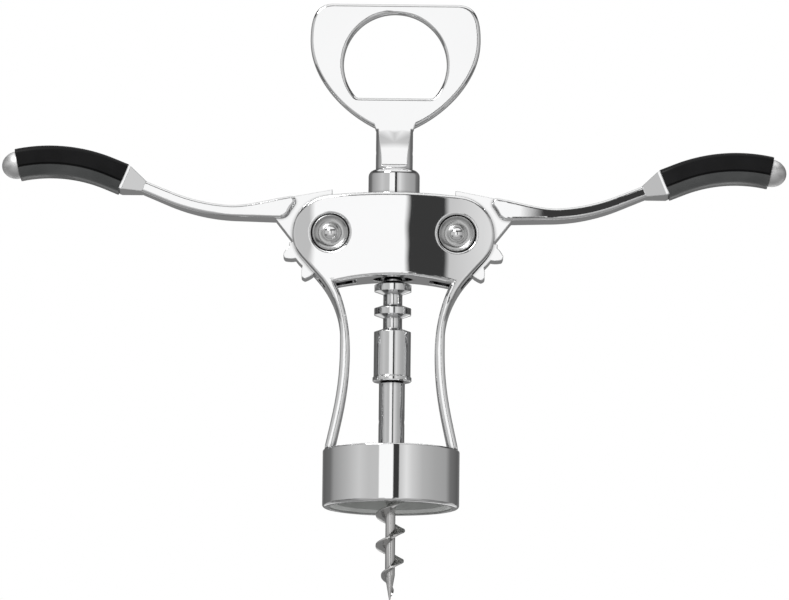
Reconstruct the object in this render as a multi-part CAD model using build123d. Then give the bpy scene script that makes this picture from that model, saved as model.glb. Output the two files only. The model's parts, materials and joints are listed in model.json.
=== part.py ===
from build123d import *

import os
from math import acos, asin, atan2, cos, degrees, dist, pi, radians, sin, sqrt, tan

# A lever corkscrew.  Millimetres, +Z up along the worm's axis, +X to the right, the front faces -Y.
# The origin is the centre of the bell's bottom rim.  The levers stand at their half-raised rest.

# ---------------------------------------------------------------- fits and clearances
RUNNING_FIT = 0.05  # radial, shafts that turn or slide
SEATED_FIT = 0.03  # radial, pieces pressed or glued in place
END_PLAY = 0.12  # along the axis, between the rack sleeve and what holds it
HUB_PLAY = 0.25  # each side of a lever's hub in the head's slot
GEAR_ROOM = 0.4  # between the tooth tips and the casting
TIP_ROOM = 0.5  # between the tooth tips and the rack's root
ROOT_ROOM = 0.62  # between the rack's rims and the tooth roots
BACKLASH = 1.4  # slack of the mesh along the pitch line
WORM_ROOM = 0.3  # between the worm's edge and the bell's hole
LINER_ROOM = 0.4  # between the worm's edge and the liner's hole
WELL_ROOM = 0.45  # between the rack and the well that it slides in
HUB_ROOM = 1.72  # between a lever's hub, where it has no teeth, and the rack
CAP_ROOM = 0.12  # around a pivot cap in its recess
SPIGOT_ROOM = 0.15  # around an end cap's spigot in its grip
SHOULDER_ROOM = 2.55  # between the head's round end and the levers' thick arms

# ---------------------------------------------------------------- spindle: rack, collar and worm
SPINDLE_RADIUS = 5.55  # neck of the handle, rims of the rack and its plain barrel
SPINDLE_ROOT = 2.87  # rack between its rims
RIM_PITCH = 7.14
RIM_LAND = 2.0  # width of a rim at its outer edge
RIM_COUNT = 6
NECK_SINK = 1.06  # how far the handle's neck reaches into the bush
PRESSURE_ANGLE = 20.0
BARREL_BOTTOM_Z = 38.0
BARREL_LIP = 0.3  # how far the barrel's lower lip stands proud
BARREL_LIP_HEIGHT = 1.6

SHANK_RADIUS = 2.0
SHANK_DEPTH = 11.5  # how far the worm's shank reaches into the handle's neck
COLLAR_INSET = 0.5  # how far the collar stays inside the worm's edge
COLLAR_BOTTOM_Z = 14.0
WORM_RADIUS = 4.4
WORM_CORE = 1.48
WORM_PITCH = 9.24
WORM_TIP_Z = -28.0
WORM_POINT = 13.0  # length of the tapered end
WORM_POINT_RADIUS = 0.12
CORE_TAPER = 0.6  # share of the tapered end over which the core is tapered too
WORM_EDGE = 0.5  # width of the flight's cutting edge
FLIGHT_ROOT_SHARE = 0.3  # share of the pitch that the flight takes up at its root
FLIGHT_LEAST_SHARE = 0.1  # how thin the flight gets at the point, beside its full width
FLIGHT_SINK = 0.6  # the flight starts at this share of the core's radius
FLIGHT_START = 1.2  # above the point
FLIGHT_END = 1.5  # below the collar
SHANK_CONE = 1.0  # height over which the core widens to the shank
SECTIONS_PER_TURN = 24
WORM_PHASE_Z = -6.7  # a height where the flight points to +X
PIN_RADIUS = 0.8  # cross pins of the handle and the collar
PIN_INSET = 0.15
PIN_SHARE = 0.55  # share of the shank's depth in the handle at which its pin sits
TURNED_EDGE = 0.4  # chamfers of the collar and the shank

# ---------------------------------------------------------------- gear of the levers
TOOTH_COUNT = 11  # teeth that a full wheel would have
PITCH_LINE = 0.82  # how far outside the rims the rack's pitch line lies
MESH_GAP = 3  # the rack's gap, counted from the lowest, that takes the tooth named MESH_TOOTH
MESH_TOOTH = 5  # that tooth, counted from the outermost
CUT_TEETH = 7
TOOTH_SINK = 0.5  # how far a tooth reaches into the hub
SECTOR_MARGIN = 0.42  # share of the teeth's pitch that the toothed part runs past its last teeth
TOOTH_TIP_ROUND = 0.75

# ---------------------------------------------------------------- head and legs of the frame
PIVOT_Z = 82.1
HEAD_RISE = 12.3  # top of the head above the pivots
HEAD_END_RADIUS = 11.45
HEAD_HALF_DEPTH = 9.5
HEAD_FACE_RADIUS = 140.0  # the head's front and back are bowed
HEAD_FLANK = 48.5  # slope of the head's lower outer edges, degrees
CASTING_EDGE = 1.1  # rounding of the head's and the legs' edges
SLOT_WIDTH = 8.0
ARCH_DROP = 12.9  # top of the opening between the legs, below the pivots
ARCH_RISE = 2.0

LEG_WAIST_X = 14.2
LEG_WAIST_Z = 47.0
LEG_THICKNESS = 2.95
LEG_OUTER_BEND = 27.0
LEG_INNER_BEND = 47.0
LEG_INSET = 0.3  # of the leg's outside from the bell's
LEG_CURVE = 0.42  # share of the drop that the leg stays upright for, below its waist
LEG_FOOT_CURVE = 0.3  # share of the drop that it keeps its foot's slope for
LEG_FOOT_DEPTH = 7.0  # half the leg's depth at the bell
LEG_WAIST_DEPTH = 5.8
LEG_FOOT_FLARE = 0.35  # shares of the leg's height over which its depth flares out
LEG_TOP_FLARE = 0.2
LEG_TOP_GAP = 1.0  # the flare ends this far below the arch
LEG_BLEND = 8.0  # rounding where the legs' faces meet the head's

# ---------------------------------------------------------------- bell and its liner
BELL_RADIUS = 20.5
BELL_HEIGHT = 17.3
BELL_WALL = 2.0
BELL_TOP = 2.3
BELL_RIM_EDGE = 0.9
BELL_TOP_EDGE = 0.5
LINER_WALL = 2.2
LINER_TOP = 2.2
LINER_RECESS = 0.5  # how far the liner stays inside the rim
LINER_MOUTH = 0.8
LINER_CORNER = 1.5

# ---------------------------------------------------------------- pivots
PIVOT_PIN_RADIUS = 2.5
PIVOT_END_RADIUS = 1.6  # the pin's reduced end, headed over the cap
PIVOT_DOME_RADIUS = 2.05
PIVOT_DOME_HEIGHT = 1.0
CAP_RADIUS = 5.5
CAP_THICKNESS = 1.3
CAP_SINK = 3.1  # depth of the caps' seats below the middle of the head's face
CAP_LIP = 0.45  # rounding of a cap's outer edge
CAP_DISH = 0.63  # depth of a cap's hollow
CAP_LAND = 0.35  # depth of the flat under the pin's dome
CAP_LAND_MARGIN = 0.25  # of that flat around the dome
CAP_MOUTH_EDGE = 0.8  # rounding of the recess's mouth

# ---------------------------------------------------------------- spindle bush on top of the head
BUSH_WALL = 2.15
BUSH_HEIGHT = 7.7
BUSH_CORNER = 1.95
BUSH_SPIGOT_WALL = 0.85
BUSH_SPIGOT_LENGTH = 1.7
BUSH_SPOT_FACE = 0.2  # depth of the flat that the bush stands on

# ---------------------------------------------------------------- levers
# Points are (out, up) from the pivot.
HUB_LINE_START = (-0.42, 13.6)  # upper inner corner of the hub plate
HUB_LINE_END = (15.13, 10.65)
HUB_HEEL = (10.73, -2.8)  # where the hub plate's lower edge meets the first tooth
ARM_LOW = (27.13, 6.55)  # lowest point of the arm's centre line
ARM_BEND = 56.0
ARM_HEEL_OUT = 1.5  # of the arm's lower inner corner, past the hub line's end
ARM_HEEL_ROUND = 3.0
ARM_TIP_ROUND = 1.5  # of the arm's upper inner corner
ARM_HEEL_DROP = 0.25  # of that corner below the arm's underside
ROOT_MEET_ANGLE = 4.2  # along the arm's bend, where its thick root has run out, degrees
ROOT_PULL = 0.32  # share of the root's length over which each end keeps its slope
ARM_THICKNESS = 3.3
ARM_HALF_DEPTH = 6.2
ARM_END_HALF_DEPTH = 4.2
ARM_SWELL = 0.2  # how far the plan's pull stands out beside the shoulder
ARM_SHOULDER_SHARE = 0.7  # share of the arm's length that stays about as deep as its shoulder
ARM_TAPER_SHARE = 0.8  # share of its length by which it has slimmed to its end depth
ARM_EDGE = 0.8
FERRULE_START = 56.13  # out from the pivot
FERRULE_LENGTH = 5.8
FERRULE_RIM = 0.9
FERRULE_STEP_Z = 0.75  # from the ferrule's edge up to the grip's
FERRULE_STEP_Y = 0.7

GRIP_HIGH = (84.13, 21.65)  # highest point of the grip's centre line
GRIP_BEND = 46.5
GRIP_HEIGHT = 8.9
GRIP_HALF_DEPTH = 7.0
GRIP_END_ANGLE = 12.6  # how far past its highest point the grip runs, degrees
GRIP_CROWN = 1.6
GRIP_BEVEL = 2.7
TANG_HEIGHT = 3.6
TANG_HALF_DEPTH = 3.8
TANG_SHORTFALL = 6.0  # how far the tang stops before the grip's end
END_CAP_LENGTH = 4.8
END_CAP_STEP_Z = 0.35  # from the end cap's edge up to the grip's
END_CAP_STEP_Y = 1.1
SPIGOT_LENGTH = 4.0

# ---------------------------------------------------------------- handle with the bottle opener
NECK_LENGTH = 14.36
PLATE_HEIGHT = 37.2
PLATE_HALF_WIDTH = 25.6
PLATE_WIDEST_RISE = 26.1  # of the plate's widest place above the neck
PLATE_CORNER = 6.9
PLATE_CORNER_PULL = 0.22  # how square the top corners are: 0 is the squarest
PLATE_SIDE_PULL = 0.4  # share of its height over which the plate's side stays upright
PLATE_FOOT_WIDTH = 0.66  # shares of width and height that the plate's lower sides run to
PLATE_FOOT_RISE = 0.19
PLATE_BLEND = 3.0  # height above the neck where the plate reaches its even thickness
NECK_CORNER = 0.3
PLATE_HALF_DEPTH = 2.4
PLATE_EDGE = 1.0
BLANK_STEP = 1.0  # the round neck widens into the plate from this far below its shoulder
NECK_FLAT_RISE = 2.16  # where the neck's flats run out
NECK_FLAT_DEPTH = 4.0  # half thickness of the neck there
NECK_RUNOUT = 2.0  # height of the flats' hollow run-out
HOLE_RADIUS = 15.5
HOLE_RISE = 18.9  # of the hole's centre above the neck
HOLE_FLAT_DROP = 10.35  # the hole's straight lip, below its centre
HOLE_CORNER = 1.8

# ---------------------------------------------------------------- what follows from the sizes above
HEAD_TOP_Z = PIVOT_Z + HEAD_RISE
ARCH_TOP_Z = PIVOT_Z - ARCH_DROP
RACK_WELL_RADIUS = SPINDLE_RADIUS + WELL_ROOM
BUSH_SPIGOT_RADIUS = SPINDLE_RADIUS + BUSH_SPIGOT_WALL
BUSH_RADIUS = SPINDLE_RADIUS + BUSH_WALL
BUSH_TOP_Z = HEAD_TOP_Z + BUSH_HEIGHT
CAP_SEAT = HEAD_HALF_DEPTH - CAP_SINK
CAVITY_RADIUS = BELL_RADIUS - BELL_WALL
CAVITY_TOP_Z = BELL_HEIGHT - BELL_TOP
WORM_HOLE_RADIUS = WORM_RADIUS + WORM_ROOM
COLLAR_RADIUS = WORM_RADIUS - COLLAR_INSET

FLANK_RISE = tan(radians(PRESSURE_ANGLE))
NECK_BOTTOM_Z = BUSH_TOP_Z - NECK_SINK
SLEEVE_TOP_Z = NECK_BOTTOM_Z - FLANK_RISE * (SPINDLE_RADIUS - SPINDLE_ROOT)
FIRST_RIM_Z = NECK_BOTTOM_Z + RIM_LAND / 2 - RIM_PITCH * RIM_COUNT
BARREL_TOP_Z = FIRST_RIM_Z - RIM_PITCH + RIM_LAND / 2

PITCH_RADIUS = RIM_PITCH * TOOTH_COUNT / (2 * pi)
PIVOT_X = SPINDLE_RADIUS + PITCH_LINE + PITCH_RADIUS
GEAR_TIP = PIVOT_X - SPINDLE_ROOT - TIP_ROOM
GEAR_ROOT = PIVOT_X - SPINDLE_RADIUS - ROOT_ROOM
HUB_RADIUS = PIVOT_X - SPINDLE_RADIUS - HUB_ROOM
HUB_HALF = SLOT_WIDTH / 2 - HUB_PLAY
TOOTH_PITCH = 360.0 / TOOTH_COUNT
MESH_RISE = FIRST_RIM_Z + RIM_PITCH * (MESH_GAP + 0.5) - PIVOT_Z
FIRST_TOOTH = TOOTH_PITCH * MESH_TOOTH - 180 - degrees(MESH_RISE / PITCH_RADIUS)

SHOULDER_Z = NECK_BOTTOM_Z + NECK_LENGTH
PLATE_TOP_Z = SHOULDER_Z + PLATE_HEIGHT
PLATE_WIDEST_Z = SHOULDER_Z + PLATE_WIDEST_RISE
NECK_FLAT_Z = NECK_BOTTOM_Z + NECK_FLAT_RISE
HOLE_Z = SHOULDER_Z + HOLE_RISE

ARM_SHOULDER = HEAD_END_RADIUS + SHOULDER_ROOM
FERRULE_HEIGHT = GRIP_HEIGHT - 2 * FERRULE_STEP_Z
FERRULE_HALF_DEPTH = GRIP_HALF_DEPTH - FERRULE_STEP_Y
END_CAP_HEIGHT = GRIP_HEIGHT - 2 * END_CAP_STEP_Z
END_CAP_HALF_DEPTH = GRIP_HALF_DEPTH - END_CAP_STEP_Y

FAR = 300.0  # longer than anything here, for cutting tools
OVERCUT = 5.0  # how far a cutting shape runs past what it cuts
TINY = 0.01  # for telling sizes and places apart


# ---------------------------------------------------------------- helpers
def front(face, depth, x=0.0, z=0.0):
    """A face drawn as (x, z), given a thickness that is centred on the middle plane."""
    return extrude(Plane((x, 0, z), x_dir=(1, 0, 0), z_dir=(0, -1, 0)) * face, depth / 2, both=True)


def turned(outline):
    """A closed outline of edges drawn as (radius, z), turned about the worm's axis."""
    return revolve(Plane.XZ * make_face(outline), Axis.Z)


def turned_points(points):
    return turned(Polyline(*points, close=True))


def ring(outer, inner, z0, z1):
    return turned_points([(inner, z0), (outer, z0), (outer, z1), (inner, z1)])


def cross_rod(radius, y0, y1, x, z):
    """A round rod along Y."""
    return Plane((x, y0, z), x_dir=(1, 0, 0), z_dir=(0, 1, 0)) * extrude(Circle(radius), y1 - y0)


def circles(body, radius, z):
    """The round edges of one radius at one height."""
    rounds = body.edges().filter_by(GeomType.CIRCLE)
    return [edge for edge in rounds if abs(edge.radius - radius) < TINY and abs(edge.center().Z - z) < TINY]


def mirrored(shape):
    return mirror(shape, about=Plane.YZ)


def at_angle(center, radius, angle):
    """The point at an angle in degrees, from +x towards +z, on a circle."""
    return (center[0] + radius * cos(radians(angle)), center[1] + radius * sin(radians(angle)))


def arc_about(center, radius, start, end):
    """An arc from one angle to another, in degrees."""
    middle = (start + end) / 2
    points = [at_angle(center, radius, angle) for angle in (start, middle, end)]
    return ThreePointArc(*points)


# ---------------------------------------------------------------- gear
def involute(angle):
    return tan(angle) - angle


def tooth_half_angle(radius):
    """Half the angle that a tooth takes up at a radius, in degrees."""
    base = PITCH_RADIUS * cos(radians(PRESSURE_ANGLE))
    rim_width = RIM_LAND - 2 * PITCH_LINE * FLANK_RISE
    width = RIM_PITCH - rim_width - BACKLASH
    half = width / (2 * PITCH_RADIUS) + involute(radians(PRESSURE_ANGLE))
    return degrees(half - involute(acos(base / radius)))


def tooth(angle):
    """One involute tooth as a face about the origin, its middle at an angle in degrees."""
    inner = GEAR_ROOT - TOOTH_SINK
    radii = [GEAR_ROOT, (2 * GEAR_ROOT + GEAR_TIP) / 3, (GEAR_ROOT + 2 * GEAR_TIP) / 3, GEAR_TIP]
    spread = [tooth_half_angle(radius) for radius in radii]
    rising = [at_angle((0, 0), r, angle - s) for r, s in zip(radii, spread)]
    falling = [at_angle((0, 0), r, angle + s) for r, s in zip(radii, spread)][::-1]
    foot_start = at_angle((0, 0), inner, angle - spread[0])
    foot_end = at_angle((0, 0), inner, angle + spread[0])
    edges = [
        Line(foot_start, rising[0]),
        Spline(*rising),
        arc_about((0, 0), GEAR_TIP, angle - spread[-1], angle + spread[-1]),
        Spline(*falling),
        Line(falling[-1], foot_end),
        Line(foot_end, foot_start),
    ]
    face = make_face(edges)
    tip = [vertex for vertex in face.vertices() if Vector(vertex).length > GEAR_TIP - TINY]
    return fillet(tip, TOOTH_TIP_ROUND)


def gear_sector():
    """The toothed part of a lever's hub, about the origin, for the lever on the right."""
    first = FIRST_TOOTH
    last = first - TOOTH_PITCH * (CUT_TEETH - 1)
    margin = TOOTH_PITCH * SECTOR_MARGIN
    start = at_angle((0, 0), GEAR_ROOT, first + margin)
    end = at_angle((0, 0), GEAR_ROOT, last - margin)
    root = arc_about((0, 0), GEAR_ROOT, first + margin, last - margin)
    edges = [root, Line(end, (0, 0)), Line((0, 0), start)]
    sector = make_face(edges) + Circle(HUB_RADIUS)
    for index in range(CUT_TEETH):
        sector += tooth(first - TOOTH_PITCH * index)
    return sector


# ---------------------------------------------------------------- frame
def head_and_leg_edges():
    """Right half of the outline of the head and the leg, from the top centre to the leg's foot."""
    rise = HEAD_TOP_Z - PIVOT_Z
    crown = (PIVOT_X**2 + rise**2 - HEAD_END_RADIUS**2) / (2 * (rise - HEAD_END_RADIUS))
    crown_center = (0, HEAD_TOP_Z - crown)
    crown_end = degrees(atan2(PIVOT_Z - crown_center[1], PIVOT_X))
    pivot = (PIVOT_X, PIVOT_Z)
    turn = 90 - HEAD_FLANK
    flank_start = at_angle(pivot, HEAD_END_RADIUS, -turn)

    waist_x = LEG_WAIST_X + LEG_THICKNESS / 2
    bend_x = waist_x + LEG_OUTER_BEND
    reach = HEAD_END_RADIUS + LEG_OUTER_BEND - (bend_x - PIVOT_X) * cos(radians(turn))
    bend_center = (bend_x, PIVOT_Z - reach / sin(radians(turn)))
    flank_end = at_angle(bend_center, LEG_OUTER_BEND, 180 - turn)
    bend_end = at_angle(bend_center, LEG_OUTER_BEND, 180)
    return [
        arc_about(crown_center, crown, 90, crown_end),
        arc_about(pivot, HEAD_END_RADIUS, crown_end, -turn),
        Line(flank_start, flank_end),
        arc_about(bend_center, LEG_OUTER_BEND, 180 - turn, 180),
        Line(bend_end, (waist_x, LEG_WAIST_Z)),
        leg_curve(LEG_THICKNESS / 2),
    ]


def leg_foot():
    """Middle of the leg where it runs into the bell's top."""
    return (BELL_RADIUS - LEG_THICKNESS / 2 - LEG_INSET, BELL_HEIGHT - BELL_TOP / 2)


def leg_curve(offset):
    """The lower leg from its waist to its foot, a parallel of its centre line."""
    foot_x, foot_z = leg_foot()
    drop = LEG_WAIST_Z - foot_z
    lean = LEG_CURVE * (foot_x - LEG_WAIST_X)
    return Bezier(
        (LEG_WAIST_X + offset, LEG_WAIST_Z),
        (LEG_WAIST_X + offset, LEG_WAIST_Z - LEG_CURVE * drop),
        (foot_x + offset - lean, foot_z + LEG_FOOT_CURVE * drop),
        (foot_x + offset, foot_z),
    )


def window_edges():
    """Right half of the opening between the legs, from the arch's top to below the feet."""
    corner_z = ARCH_TOP_Z - ARCH_RISE
    waist_x = LEG_WAIST_X - LEG_THICKNESS / 2
    corner_x = waist_x + LEG_INNER_BEND - sqrt(LEG_INNER_BEND**2 - (corner_z - LEG_WAIST_Z) ** 2)
    arch = (corner_x**2 + ARCH_RISE**2) / (2 * ARCH_RISE)
    arch_center = (0, ARCH_TOP_Z - arch)
    lean = degrees(asin((corner_z - LEG_WAIST_Z) / LEG_INNER_BEND))
    return [
        arc_about(arch_center, arch, 90, degrees(atan2(corner_z - arch_center[1], corner_x))),
        arc_about((waist_x + LEG_INNER_BEND, LEG_WAIST_Z), LEG_INNER_BEND, 180 - lean, 180),
        leg_curve(-LEG_THICKNESS / 2),
    ]


def both_halves(half, about=Plane.YZ):
    """A face and its mirror image, as one face."""
    return half + mirror(half, about=about)


def closed_half(edges):
    """A face from the right half of an outline, closed along its foot and the middle line."""
    foot = edges[-1] @ 1
    return make_face(edges + [Line(foot, (0, foot.Y)), Line((0, foot.Y), edges[0] @ 0)])


def bowed_plan():
    """Plan of the head: bowed front and back."""
    reach = PIVOT_X + HEAD_END_RADIUS + OVERCUT
    edge_y = HEAD_HALF_DEPTH - (HEAD_FACE_RADIUS - sqrt(HEAD_FACE_RADIUS**2 - reach**2))
    edges = [
        ThreePointArc((-reach, -edge_y), (0, -HEAD_HALF_DEPTH), (reach, -edge_y)),
        Line((reach, -edge_y), (reach, edge_y)),
        ThreePointArc((reach, edge_y), (0, HEAD_HALF_DEPTH), (-reach, edge_y)),
        Line((-reach, edge_y), (-reach, -edge_y)),
    ]
    return extrude(make_face(edges), HEAD_TOP_Z + OVERCUT)


def depth_profile():
    """Side view of the head and the legs: deep head, slimmer waist, wider foot."""
    head = HEAD_HALF_DEPTH + CASTING_EDGE
    foot_z = BELL_HEIGHT - BELL_TOP
    rise = ARCH_TOP_Z - foot_z
    flare = Bezier(
        (LEG_FOOT_DEPTH, foot_z),
        (LEG_WAIST_DEPTH, foot_z + LEG_FOOT_FLARE * rise),
        (LEG_WAIST_DEPTH, ARCH_TOP_Z - LEG_TOP_FLARE * rise),
        (head, ARCH_TOP_Z - LEG_TOP_GAP),
    )
    top = HEAD_TOP_Z + OVERCUT
    lines = [Line(flare @ 1, (head, top)), Line((head, top), (0, top)), Line((0, top), (0, foot_z))]
    half = make_face([flare] + lines + [Line((0, foot_z), flare @ 0)])
    return extrude(Plane.YZ * both_halves(half), FAR / 2, both=True)


def on_any(edge, edges):
    return any(edge.is_same(other) for other in edges)


def split_faces(body):
    """Edges of the outline's walls, and edges of the front and back faces."""
    walls = [edge for face in body.faces() if abs(face.normal_at().Y) < TINY for edge in face.edges()]
    faces = [edge for face in body.faces() if abs(face.normal_at().Y) > TINY for edge in face.edges()]
    return walls, faces


def rim_edges(body, lowest_z=0.0):
    """The edges between the outline's walls and the front and back faces."""
    walls, faces = split_faces(body)
    return [edge for edge in walls if on_any(edge, faces) and (edge @ 0.5).Z > lowest_z]


def crease_edges(body):
    """The edges where the bowed head runs into the flaring legs."""
    walls, faces = split_faces(body)
    return [edge for edge in faces if not on_any(edge, walls)]


def head_and_legs():
    outside = front(both_halves(closed_half(head_and_leg_edges())), FAR)
    window = front(both_halves(closed_half(window_edges())), FAR)
    below = Pos(0, 0, leg_foot()[1] - FAR / 2) * Box(FAR, FAR, FAR)
    body = (outside - window - below) & depth_profile() & bowed_plan()
    body = fillet(crease_edges(body), LEG_BLEND)
    body = fillet(rim_edges(body, BELL_HEIGHT - 0.5), CASTING_EDGE)
    bell_line = BELL_RADIUS - 2 * LEG_INSET
    top = BELL_HEIGHT + FAR
    flare = [(0, 0), (bell_line, 0), (bell_line, BELL_HEIGHT), (bell_line + FAR, top), (0, top)]
    return body & turned_points(flare)


def bell():
    outside = [
        (WORM_HOLE_RADIUS, BELL_HEIGHT),
        (WORM_HOLE_RADIUS, CAVITY_TOP_Z),
        (CAVITY_RADIUS, CAVITY_TOP_Z),
        (CAVITY_RADIUS, 0),
        (BELL_RADIUS, 0),
        (BELL_RADIUS, BELL_HEIGHT),
    ]
    shell = turned_points(outside)
    shell = fillet(circles(shell, BELL_RADIUS, 0), BELL_RIM_EDGE)
    return fillet(circles(shell, BELL_RADIUS, BELL_HEIGHT), BELL_TOP_EDGE)


def pivot_cuts(x):
    """The pivot's bore and the two recesses for its caps."""
    bore = cross_rod(PIVOT_PIN_RADIUS + SEATED_FIT, -FAR, FAR, x, PIVOT_Z)
    recess = cross_rod(CAP_RADIUS + CAP_ROOM, CAP_SEAT, FAR, x, PIVOT_Z)
    return bore + recess + mirror(recess, about=Plane.XZ)


def recess_mouths(body):
    """The edges of the caps' recesses on the head's front and back."""
    width = 2 * (CAP_RADIUS + CAP_ROOM)
    rounds = [edge for edge in body.edges() if abs(edge.bounding_box().size.X - width) < TINY]
    return [edge for edge in rounds if abs((edge @ 0.25).Y) > CAP_SEAT + TINY]


def frame():
    top = head_and_legs()
    gear_room = GEAR_TIP + GEAR_ROOM
    slot = front(Circle(gear_room), SLOT_WIDTH, PIVOT_X, PIVOT_Z)
    well = ring(RACK_WELL_RADIUS, 0, ARCH_TOP_Z - ARCH_RISE - OVERCUT, HEAD_TOP_Z + OVERCUT)
    seat_z = HEAD_TOP_Z - BUSH_SPOT_FACE
    spigot_hole = ring(BUSH_SPIGOT_RADIUS + SEATED_FIT, 0, seat_z - BUSH_SPIGOT_LENGTH, HEAD_TOP_Z + OVERCUT)
    spot_face = ring(BUSH_RADIUS + SEATED_FIT, 0, seat_z, HEAD_TOP_Z + OVERCUT)
    body = top - slot - mirrored(slot) - well - spigot_hole - spot_face
    body -= pivot_cuts(PIVOT_X) + pivot_cuts(-PIVOT_X)
    body = fillet(recess_mouths(body), CAP_MOUTH_EDGE)
    return body + bell()


def bell_liner():
    outer = CAVITY_RADIUS - SEATED_FIT
    inner = outer - LINER_WALL
    seat_z = CAVITY_TOP_Z - LINER_TOP
    hole = WORM_RADIUS + LINER_ROOM
    shell = turned_points(
        [
            (hole, CAVITY_TOP_Z),
            (hole, seat_z),
            (inner, seat_z),
            (inner, LINER_RECESS + LINER_MOUTH),
            (inner + LINER_MOUTH, LINER_RECESS),
            (outer, LINER_RECESS),
            (outer, CAVITY_TOP_Z),
        ]
    )
    return fillet(circles(shell, inner, seat_z), LINER_CORNER)


def spindle_bush():
    seat_z = HEAD_TOP_Z - BUSH_SPOT_FACE
    bore = SPINDLE_RADIUS + RUNNING_FIT
    shell = turned_points(
        [
            (bore, seat_z - BUSH_SPIGOT_LENGTH),
            (BUSH_SPIGOT_RADIUS, seat_z - BUSH_SPIGOT_LENGTH),
            (BUSH_SPIGOT_RADIUS, seat_z),
            (BUSH_RADIUS, seat_z),
            (BUSH_RADIUS, BUSH_TOP_Z),
            (bore, BUSH_TOP_Z),
        ]
    )
    return fillet(circles(shell, BUSH_RADIUS, BUSH_TOP_Z), BUSH_CORNER)


# ---------------------------------------------------------------- pivots
def pivot_pin(x):
    """A pin along Y whose two reduced ends are headed into domes over the caps."""
    shoulder = CAP_SEAT
    face = CAP_SEAT + CAP_THICKNESS - CAP_LAND
    dome_rise = PIVOT_DOME_HEIGHT
    dome = (PIVOT_DOME_RADIUS**2 + dome_rise**2) / (2 * dome_rise)
    body = cross_rod(PIVOT_PIN_RADIUS, -shoulder, shoulder, x, PIVOT_Z)
    for side in (-1, 1):
        y0, y1 = sorted((side * shoulder, side * face))
        body += cross_rod(PIVOT_END_RADIUS, y0, y1, x, PIVOT_Z)
        ball = Pos(x, side * (face + dome_rise - dome), PIVOT_Z) * Sphere(dome)
        y0, y1 = sorted((side * face, side * (face + 2 * dome_rise)))
        body += ball & cross_rod(PIVOT_DOME_RADIUS, y0, y1, x, PIVOT_Z)
    return body


def pivot_cap(x, side):
    """A dished washer in the head's recess, drawn as (radius, height) and turned about the pivot."""
    bore = PIVOT_END_RADIUS + SEATED_FIT
    land = PIVOT_DOME_RADIUS + CAP_LAND_MARGIN
    face = CAP_THICKNESS
    seat = face - CAP_LAND
    rim = CAP_RADIUS - CAP_LIP
    edges = [
        Line((bore, 0), (CAP_RADIUS, 0)),
        Line((CAP_RADIUS, 0), (CAP_RADIUS, face - CAP_LIP)),
        arc_about((rim, face - CAP_LIP), CAP_LIP, 0, 90),
        ThreePointArc((rim, face), ((rim + land) / 2, face - CAP_DISH), (land, seat)),
        Line((land, seat), (bore, seat)),
        Line((bore, seat), (bore, 0)),
    ]
    washer = revolve(Plane.XZ * make_face(edges), Axis.Z)
    return Pos(x, side * CAP_SEAT, PIVOT_Z) * Rot(X=-90 * side) * washer


# ---------------------------------------------------------------- rack, worm and what fixes them
def rack_sleeve():
    """The rack: round rims on a thin root, above a plain barrel, all around the worm's shank."""
    bore = SHANK_RADIUS + RUNNING_FIT
    depth = SPINDLE_RADIUS - SPINDLE_ROOT
    points = [
        (bore, BARREL_BOTTOM_Z),
        (SPINDLE_RADIUS, BARREL_BOTTOM_Z),
        (SPINDLE_RADIUS + BARREL_LIP, BARREL_BOTTOM_Z + BARREL_LIP),
        (SPINDLE_RADIUS + BARREL_LIP, BARREL_BOTTOM_Z + BARREL_LIP_HEIGHT - BARREL_LIP),
        (SPINDLE_RADIUS, BARREL_BOTTOM_Z + BARREL_LIP_HEIGHT),
        (SPINDLE_RADIUS, BARREL_TOP_Z),
        (SPINDLE_ROOT, BARREL_TOP_Z + FLANK_RISE * depth),
    ]
    for index in range(RIM_COUNT):
        z = FIRST_RIM_Z + RIM_PITCH * index
        points += [
            (SPINDLE_ROOT, z - RIM_LAND / 2 - FLANK_RISE * depth),
            (SPINDLE_RADIUS, z - RIM_LAND / 2),
            (SPINDLE_RADIUS, z + RIM_LAND / 2),
            (SPINDLE_ROOT, z + RIM_LAND / 2 + FLANK_RISE * depth),
        ]
    points += [(SPINDLE_ROOT, SLEEVE_TOP_Z - END_PLAY), (bore, SLEEVE_TOP_Z - END_PLAY)]
    return turned_points(points)


def collar_top_z():
    return BARREL_BOTTOM_Z - END_PLAY


def collar_pin_z():
    return (collar_top_z() + COLLAR_BOTTOM_Z) / 2


def handle_pin_z():
    return NECK_BOTTOM_Z + SHANK_DEPTH * PIN_SHARE


def cross_pin_hole(z, radius):
    return Pos(0, 0, z) * Rot(Y=90) * Cylinder(radius, FAR)


def worm_collar():
    bore = SHANK_RADIUS + SEATED_FIT
    body = turned_points(
        [
            (bore, COLLAR_BOTTOM_Z),
            (COLLAR_RADIUS - TURNED_EDGE, COLLAR_BOTTOM_Z),
            (COLLAR_RADIUS, COLLAR_BOTTOM_Z + TURNED_EDGE),
            (COLLAR_RADIUS, collar_top_z() - TURNED_EDGE),
            (COLLAR_RADIUS - TURNED_EDGE, collar_top_z()),
            (bore, collar_top_z()),
        ]
    )
    return body - cross_pin_hole(collar_pin_z(), PIN_RADIUS + SEATED_FIT)


def cross_pin(z, reach):
    length = 2 * (sqrt(reach**2 - PIN_RADIUS**2) - PIN_INSET)
    return Pos(0, 0, z) * Rot(Y=90) * Cylinder(PIN_RADIUS, length)


def worm_radii(z):
    """Radii of the core and of the flight at a height: both taper to the point."""
    rise = z - WORM_TIP_Z
    core = WORM_POINT_RADIUS + (WORM_CORE - WORM_POINT_RADIUS) * min(1, rise / (WORM_POINT * CORE_TAPER))
    flight = 2 * WORM_POINT_RADIUS + (WORM_RADIUS - 2 * WORM_POINT_RADIUS) * min(1, rise / WORM_POINT)
    return core, flight


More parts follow.
